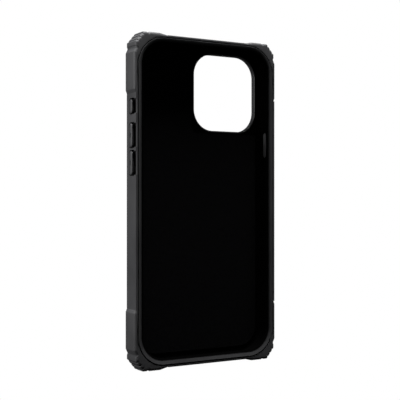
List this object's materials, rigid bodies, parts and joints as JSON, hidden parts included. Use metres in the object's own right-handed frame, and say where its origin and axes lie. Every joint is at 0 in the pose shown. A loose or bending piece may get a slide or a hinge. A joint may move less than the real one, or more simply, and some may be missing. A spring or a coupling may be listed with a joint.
{
  "type": "phone case",
  "caption": "Rugged case for a large phone: soft tray in a hard frame with rubber corner bumpers, sprung keys, camera guard and magnet ring.",
  "frame": {"origin": "under the middle of the upright case, on the plane of its bottom bumpers", "axes": "+Z along the case's length towards the camera end, -Y out of the screen side, +X to the right seen from the screen side"},
  "size_m": [0.0844, 0.0136, 0.168],
  "materials": {
    "tray_rubber": "matt moulded soft rubber",
    "frame_plastic": "fine spark texture",
    "plate_plastic": "fine spark texture",
    "bumper_rubber": "matt moulded rubber",
    "guard_plastic": "satin",
    "key_plastic": "satin",
    "plunger_rubber": "matt",
    "liner_fabric": "short brushed microfibre",
    "carrier_plastic": "smooth",
    "magnet_nickel": "nickel plated",
    "film_plastic": "thin smooth film"
  },
  "bodies": {
    "case": {"soft_tray": "tray_rubber", "side_frame": "frame_plastic", "back_plate": "plate_plastic", "fabric_liner": "liner_fabric", "camera_guard": "guard_plastic", "corner_bumper_top_left": "bumper_rubber", "corner_bumper_top_right": "bumper_rubber", "corner_bumper_bottom_left": "bumper_rubber", "corner_bumper_bottom_right": "bumper_rubber", "magnet_carrier": "carrier_plastic", "alignment_magnet": "magnet_nickel", "magnet_film_front": "film_plastic", "magnet_film_back": "film_plastic", "ring_magnet_01": "magnet_nickel", "ring_magnet_02": "magnet_nickel", "ring_magnet_03": "magnet_nickel", "ring_magnet_04": "magnet_nickel", "ring_magnet_05": "magnet_nickel", "ring_magnet_06": "magnet_nickel", "ring_magnet_07": "magnet_nickel", "ring_magnet_08": "magnet_nickel", "ring_magnet_09": "magnet_nickel", "ring_magnet_10": "magnet_nickel", "ring_magnet_11": "magnet_nickel", "ring_magnet_12": "magnet_nickel", "ring_magnet_13": "magnet_nickel", "ring_magnet_14": "magnet_nickel", "ring_magnet_15": "magnet_nickel", "ring_magnet_16": "magnet_nickel", "ring_magnet_17": "magnet_nickel", "ring_magnet_18": "magnet_nickel"},
    "action_key_body": {"action_key": "key_plastic", "action_key_plunger": "plunger_rubber"},
    "volume_up_key_body": {"volume_up_key": "key_plastic", "volume_up_key_plunger": "plunger_rubber"},
    "volume_down_key_body": {"volume_down_key": "key_plastic", "volume_down_key_plunger": "plunger_rubber"},
    "side_key_body": {"side_key": "key_plastic", "side_key_plunger": "plunger_rubber"}
  },
  "joints": [
    {"name": "action_key_press", "type": "slide", "parent": "case", "child": "action_key_body", "axis": [1, 0, 0], "range_m": [0, 0.0004], "stiffness_N_per_m": 1500},
    {"name": "volume_up_key_press", "type": "slide", "parent": "case", "child": "volume_up_key_body", "axis": [1, 0, 0], "range_m": [0, 0.0004], "stiffness_N_per_m": 1500},
    {"name": "volume_down_key_press", "type": "slide", "parent": "case", "child": "volume_down_key_body", "axis": [1, 0, 0], "range_m": [0, 0.0004], "stiffness_N_per_m": 1500},
    {"name": "side_key_press", "type": "slide", "parent": "case", "child": "side_key_body", "axis": [-1, 0, 0], "range_m": [0, 0.0004], "stiffness_N_per_m": 1500}
  ]
}
